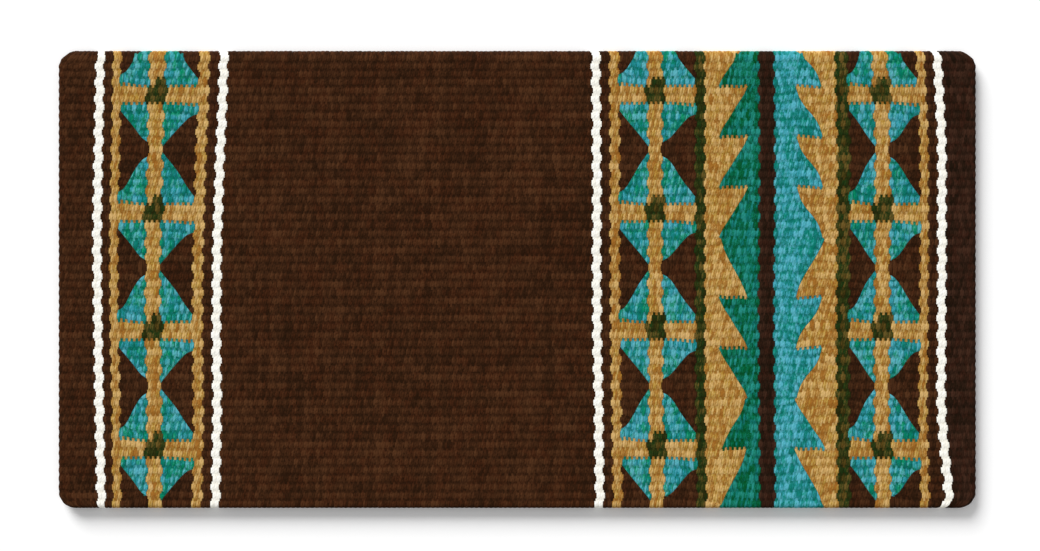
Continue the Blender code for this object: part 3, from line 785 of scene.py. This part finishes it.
def wool(name, colours, look):
    """Spun wool: each float lighter or deeper by chance and streaked by its plies, with painted shade where
    it dives and between ribs and plies.
    """
    colour, deep, light, other = colours
    finish = Finish(name)
    across, along = finish.map("float")
    tone, rim = finish.map("dye")
    pick_tone, rib_tone = finish.map("line")
    lengthways, crossways = finish.map("cloth")

    # The textures. A tone times a large number gives each float, pick or rib a part of the noise of its own
    fibre_place = finish.vector(
        across * FIBRES_ACROSS + tone * 31, along * FIBRES_ALONG + pick_tone * 17, rib_tone * 23
    )
    fibres = finish.noise(fibre_place, 1.6, 4.0)
    strand_place = finish.vector(across * STRANDS_ACROSS + tone * 53, along * STRANDS_ALONG, tone * 9)
    strands = finish.noise(strand_place, 1.0, 2.0)
    patches = finish.noise(finish.vector(lengthways, crossways), look["patches"], 2.0)
    rows = finish.noise(finish.vector(lengthways * ROWS_SCALE, rib_tone * 77), 1.0, 2.0)
    lay = across + along * PLY_LEAN
    plies = (lay * math.pi).wave().size().ramp(0.0, 0.8)
    ply = finish.node("ShaderNodeMath", {"operation": "FLOOR"}, lay)
    ply_tone = finish.node(
        "ShaderNodeTexWhiteNoise", {"noise_dimensions": "3D"}, finish.vector(tone * 97, ply, pick_tone * 89)
    )

    # How much lighter or deeper than its main colour the wool is: by chance, and by painted shade in the
    # grooves between plies and the hollows between ribs, with painted light on the plies' middles and the
    # ribs' crowns
    lift = (tone - 0.5) * look["floats"] + (pick_tone - 0.5) * look["streaks"] + (rows - 0.5) * look["rows"]
    lift = lift + (fibres - 0.5) * look["fibres"] + (strands - 0.5) * look["strands"]
    # Painted shade in the groove between two plies, and a little painted light on their middles
    lift = lift + (plies - 0.8) * look["plies"]
    # Painted shade in the hollows between ribs, and painted light on their crowns, by how far a point lies
    # from its rib's crown
    painted_valley_shade = along.size().ramp(0.12, 0.6)
    lift = lift + (0.35 - painted_valley_shade) * look["valley_shade"] + (ply_tone - 0.5) * look["ply_tones"]
    grain = finish.noise(finish.vector(lengthways * 1.5, crossways), GRAIN_SCALE, 2.0)
    specks = finish.noise(finish.vector(lengthways * 1.8, crossways, 3.0), SPECKS_SCALE, 1.0)
    lift = lift + (grain - 0.5) * look["grain"] - specks.ramp(0.56, 0.72) * look["specks"]

    # How much of its fleck shows
    broad = finish.noise(finish.vector(lengthways, crossways), BROAD_SCALE, 1.0)
    turned = (patches - 0.5) * 3 + (ply_tone - 0.5) * look["ply_tones"] + (broad - 0.5) * look["broad"]
    turned = (turned + (fibres - 0.5) * 0.8).ramp(-0.12, 0.36) * look["fleck"] + rim * look["rim_fleck"]
    shade = finish.mix(turned, colour, other)
    shade = finish.mix((lift - 0.04).ramp(0.0, 0.7) * STRAY, shade, light)
    shade = finish.mix((0 - lift - 0.02).ramp(0.0, 0.7) * STRAY, shade, deep)

    # Painted shade: the colour goes towards a dark copy of the deep one where a float dives beside the next
    # one and in the hollows between ribs, and further beside other yarns, where the painted shade also
    # stands for the dark slits between them
    side = across.size().ramp(0.55, 1.05)
    painted_dip_shade = 1 - (1 - side * 0.45) * (1 - painted_valley_shade * look["grooves"])
    dark = tuple(c * PAINTED_SHADE_SHARE for c in deep)
    with_painted_shade = finish.mix(painted_dip_shade * look["depth"] + rim * painted_dip_shade * look["outline"], shade, dark)

    twist = (along * 15 + across * 3.1 + tone * 6.283).wave()
    surface = strands * 0.5 + fibres * 0.6 + twist * 0.12 + plies * 0.3
    bump = finish.node("ShaderNodeBump", {}, Strength=0.5, Distance=0.0006, Height=surface)
    finish.set(Base_Color=with_painted_shade, Roughness=0.88 + (fibres - 0.5) * 0.16, Normal=bump)
    finish.set(Sheen_Weight=look["sheen"], Sheen_Roughness=0.5, Specular_IOR_Level=0.05)
    return finish.material


def cord_finish():
    """Hard-twisted undyed cord: two plies that wind round each other."""
    finish = Finish("warp_cord_finish")
    place = finish.node("ShaderNodeTexCoord", {}, output="Object")
    along = finish.node("ShaderNodeSeparateXYZ", {}, place, output="X")
    across = finish.node("ShaderNodeSeparateXYZ", {}, place, output="Y")
    fibres = finish.noise(place, CORD_FIBRES, 3.0)
    twist = (along * CORD_TWIST_X + across * CORD_TWIST_Y).wave()
    colour = tuple(bpy.context.scene.blanket_colours.cord)
    deep, light = (linear(c) for c in YARNS["cord"][1:3])
    # Painted shade: the colour goes deeper in the grooves of the twist
    shade = finish.mix(fibres, finish.mix((twist + 0.2).ramp(-1.0, 1.0), deep, colour), light)
    bump = finish.node("ShaderNodeBump", {}, Strength=0.6, Distance=0.0003, Height=twist + fibres * 0.6)
    finish.set(Base_Color=shade, Roughness=0.8 + fibres * 0.15, Normal=bump)
    return finish.material


def floor_finish():
    """A plain white floor that keeps the shadow and looks a little lighter to the camera alone."""
    finish = Finish("floor_finish")
    seen = finish.node("ShaderNodeLightPath", {}, output="Is Camera Ray")
    finish.set(Base_Color=(*FLOOR_COLOUR, 1), Roughness=0.9, Specular_IOR_Level=0.0)
    finish.set(Emission_Color=seen, Emission_Strength=FLOOR_GLOW)
    return finish.material


# What differs between the yarns. The first ones say how far each float, pick ("streaks"), row, fibre and
# strand, the painted shade in the groove between plies, each single ply, grain and speck, and the painted
# shade between ribs with painted light on their crowns make the wool lighter or deeper. Then come the
# fleck's strength, the scale of its patches, and how much more of it there is in broad places and beside
# other yarns, then how dark the painted shade is in the dips, in the hollows between ribs within them and in
# the lines beside other yarns, where it also stands for dark slits, and the sheen
PLAIN_LOOK = {
    "floats": 0.9, "streaks": 0.5, "rows": 0.5, "fibres": 1.3, "strands": 0.5,
    "plies": 0.4, "ply_tones": 0.6, "grain": 0.8, "specks": 0.3, "valley_shade": 0.3,
    "fleck": 0.5, "patches": 130.0, "broad": 1.0, "rim_fleck": 0.0,
    "depth": 0.45, "grooves": 0.35, "outline": 0.4, "sheen": 0.01,
}
LOOKS = {
    "brown": {
        "floats": 0.4, "rows": 1.9, "strands": 2.2, "ply_tones": 0.7, "grain": 1.2, "specks": 0.7,
        "valley_shade": 0.4, "patches": 60.0, "depth": 0.5,
    },
    "cream": {"floats": 0.4, "streaks": 0.2, "plies": 0.2, "depth": 0.06, "outline": 0.05},
    "tan": {
        "streaks": 0.8, "rows": 1.8, "strands": 3.4, "plies": 0.8, "ply_tones": 1.5, "grain": 1.8,
        "specks": 0.6, "fleck": 0.7, "depth": 0.34,
    },
    "olive": {"strands": 1.6, "ply_tones": 0.9, "rim_fleck": 0.75, "depth": 0.4, "outline": 0.5},
    "dark": {"floats": 0.8, "rows": 1.4, "strands": 1.4, "depth": 0.5},
    "green": {
        "rows": 1.2, "strands": 2.4, "ply_tones": 1.5, "grain": 1.8, "fleck": 0.9, "depth": 0.4,
        "outline": 0.9,
    },
    "turquoise": {
        "floats": 1.0, "rows": 1.3, "strands": 3.0, "ply_tones": 1.8, "grain": 3.0, "fleck": 0.8,
        "outline": 0.8,
    },
    "wing": {
        "floats": 1.0, "rows": 1.0, "strands": 3.0, "ply_tones": 1.8, "grain": 2.0, "fleck": 1.0,
        "patches": 170.0, "broad": 3.0, "outline": 0.8,
    },
}


def finished(yarn):
    """The material of one yarn, made once."""
    found = bpy.data.materials.get(f"{yarn}_wool_finish")
    if found:
        return found
    colour = tuple(getattr(bpy.context.scene.blanket_colours, yarn))
    colours = [colour, *(linear(c) for c in YARNS[yarn][1:])]
    return wool(f"{yarn}_wool_finish", colours, PLAIN_LOOK | LOOKS[yarn])


looms = {}


def loom(side):
    """The loom of one leaf, set up once."""
    if side not in looms:
        looms[side] = Loom(side, bpy.context.scene.blanket_cloth, weaving_chart())
    return looms[side]


def lay_blend(piece):
    """Bakes a piece's placement into its mesh."""
    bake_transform(piece)


def weave_areas(*areas):
    """Weaves some areas on both leaves, gives each its yarn's material and hides the frame's parts under it.
    """
    for side in SIDES:
        for area in areas:
            yarn, slot, node = AREAS[area]
            piece = loom(side).weave(f"{side}_{area}_weave", area)
            piece.data.materials.append(finished(yarn))
            fold = next(name for name, members in FOLD_NODES.items() if node in members)
            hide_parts(f"{side}_{node}", fold)
            lay_blend(piece)


class WeavingOperator:
    """What the operators that weave yarn areas share."""

    bl_options = {"REGISTER", "UNDO"}
    areas = ()

    def execute(self, context):
        weave_areas(*self.areas)
        return {"FINISHED"}


class BLANKET_OT_centre(WeavingOperator, bpy.types.Operator):
    """Weave the plain panel that lies under the saddle"""

    bl_idname = "blanket.centre"
    bl_label = "Centre panel"
    areas = ("centre_front", "centre_rear")


class BLANKET_OT_borders(WeavingOperator, bpy.types.Operator):
    """Weave the borders at the front and rear ends"""

    bl_idname = "blanket.borders"
    bl_label = "Borders"
    areas = ("front_border", "rear_border")


class BLANKET_OT_cream_stripes(WeavingOperator, bpy.types.Operator):
    """Weave the four narrow cream stripes"""

    bl_idname = "blanket.cream_stripes"
    bl_label = "Cream stripes"
    areas = ("cream_1", "cream_2", "cream_3", "cream_4")


class BLANKET_OT_brown_stripes(WeavingOperator, bpy.types.Operator):
    """Weave the four narrow brown stripes and the dark one between the teeth"""

    bl_idname = "blanket.brown_stripes"
    bl_label = "Brown stripes"
    areas = ("brown_1", "brown_2", "brown_3", "brown_4", "dark_stripe")


class BLANKET_OT_tan_stripes(WeavingOperator, bpy.types.Operator):
    """Weave the four tan stripes beside the motif columns"""

    bl_idname = "blanket.tan_stripes"
    bl_label = "Tan stripes"
    areas = ("tan_1", "tan_2", "tan_3", "tan_4")


class BLANKET_OT_olive_stripes(WeavingOperator, bpy.types.Operator):
    """Weave the two olive stripes that frame the teeth"""

    bl_idname = "blanket.olive_stripes"
    bl_label = "Olive stripes"
    areas = ("olive_1", "olive_2")


class BLANKET_OT_teeth(WeavingOperator, bpy.types.Operator):
    """Weave the green, turquoise and tan sawteeth"""

    bl_idname = "blanket.teeth"
    bl_label = "Sawteeth"
    areas = ("front_tan_teeth", "green_teeth", "turquoise_teeth", "rear_tan_teeth")


class BLANKET_OT_motifs(WeavingOperator, bpy.types.Operator):
    """Weave the three columns of crosses, with their ground, wings and squares"""

    bl_idname = "blanket.motifs"
    bl_label = "Motif columns"
    areas = tuple(
        f"{column}_{part}"
        for column in ("front", "middle", "rear")
        for part in ("ground", "crosses", "wings", "squares")
    )


class BLANKET_OT_warps(bpy.types.Operator):
    """Give the hidden warp cords of the frame their twist"""

    bl_idname = "blanket.warps"
    bl_label = "Warp cords"
    bl_options = {"REGISTER", "UNDO"}

    def execute(self, context):
        finish = cord_finish()
        for name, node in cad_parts.items():
            if name.endswith("warp_cord"):
                node.data.materials.clear()
                node.data.materials.append(finish)
        return {"FINISHED"}


class BLANKET_OT_declare_cloth(bpy.types.Operator):
    """Work out which areas of each leaf are wide enough to be sheets of cloth, and each one's width and
    surface
    """

    bl_idname = "blanket.declare_cloth"
    bl_label = "Cloth sizes"
    bl_options = {"REGISTER", "UNDO"}

    def execute(self, context):
        for side in SIDES:
            wide = [area for area in AREAS if loom(side).is_wide(area)]
            for area in wide:
                width, surface = loom(side).cut_size(area)
        return {"FINISHED"}


class BLANKET_OT_stage(bpy.types.Operator):
    """Set up the floor, the lights and the camera"""

    bl_idname = "blanket.stage"
    bl_label = "Floor, lights and camera"
    bl_options = {"REGISTER", "UNDO"}

    def execute(self, context):
        scene = context.scene
        bpy.ops.object.select_all(action="DESELECT")
        bpy.ops.mesh.primitive_plane_add(size=FLOOR_SIZE)
        floor = context.object
        floor.name = "floor"
        floor.data.materials.append(floor_finish())

        world = bpy.data.worlds.new("studio")
        world.use_nodes = True
        scene.world = world
        background = world.node_tree.nodes["Background"]
        background.inputs["Color"].default_value = (1, 1, 1, 1)
        seen = world.node_tree.nodes.new("ShaderNodeLightPath")
        strength = world.node_tree.nodes.new("ShaderNodeMapRange")
        strength.inputs["To Min"].default_value = SKY_STRENGTH
        world.node_tree.links.new(seen.outputs["Is Camera Ray"], strength.inputs["Value"])
        world.node_tree.links.new(strength.outputs["Result"], background.inputs["Strength"])

        bpy.ops.object.light_add(type="SUN")
        key = context.object
        key.name = "key_light"
        key.data.energy = SUN_STRENGTH
        key.data.angle = math.radians(SUN_SPREAD)
        key.rotation_mode = "QUATERNION"
        key.rotation_quaternion = Vector(LIGHT_FROM).to_track_quat("Z", "Y")

        bpy.ops.object.camera_add(location=(CAMERA_X, CAMERA_Y, CAD_HIGH.z + CAMERA_HEIGHT))
        camera = context.object
        camera.data.lens = LENS
        camera.data.clip_end = 10 * CAMERA_HEIGHT
        scene.camera = camera
        scene.view_settings.view_transform = "Standard"
        return {"FINISHED"}


class BLANKET_PT_panel(bpy.types.Panel):
    """The blanket's tools, in the order in which they are used"""

    bl_label = "Saddle blanket"
    bl_space_type = "VIEW_3D"
    bl_region_type = "UI"
    bl_category = "Blanket"

    def draw(self, context):
        for settings in (context.scene.blanket_cloth, context.scene.blanket_colours):
            for name in settings.__annotations__:
                self.layout.prop(settings, name)
        for operator in OPERATORS:
            self.layout.operator(operator.bl_idname)


OPERATORS = (
    BLANKET_OT_stage,
    BLANKET_OT_centre,
    BLANKET_OT_borders,
    BLANKET_OT_cream_stripes,
    BLANKET_OT_brown_stripes,
    BLANKET_OT_tan_stripes,
    BLANKET_OT_olive_stripes,
    BLANKET_OT_teeth,
    BLANKET_OT_motifs,
    BLANKET_OT_warps,
    BLANKET_OT_declare_cloth,
)
CLASSES = (BlanketCloth, BlanketColours, *OPERATORS, BLANKET_PT_panel)


def register():
    for cls in CLASSES:
        bpy.utils.register_class(cls)
    bpy.types.Scene.blanket_cloth = PointerProperty(type=BlanketCloth)
    bpy.types.Scene.blanket_colours = PointerProperty(type=BlanketColours)


def unregister():
    del bpy.types.Scene.blanket_cloth
    del bpy.types.Scene.blanket_colours
    for cls in reversed(CLASSES):
        bpy.utils.unregister_class(cls)


def main():
    register()
    for operator in OPERATORS:
        group, name = operator.bl_idname.split(".")
        getattr(getattr(bpy.ops, group), name)()


if __name__ == "__main__":
    main()
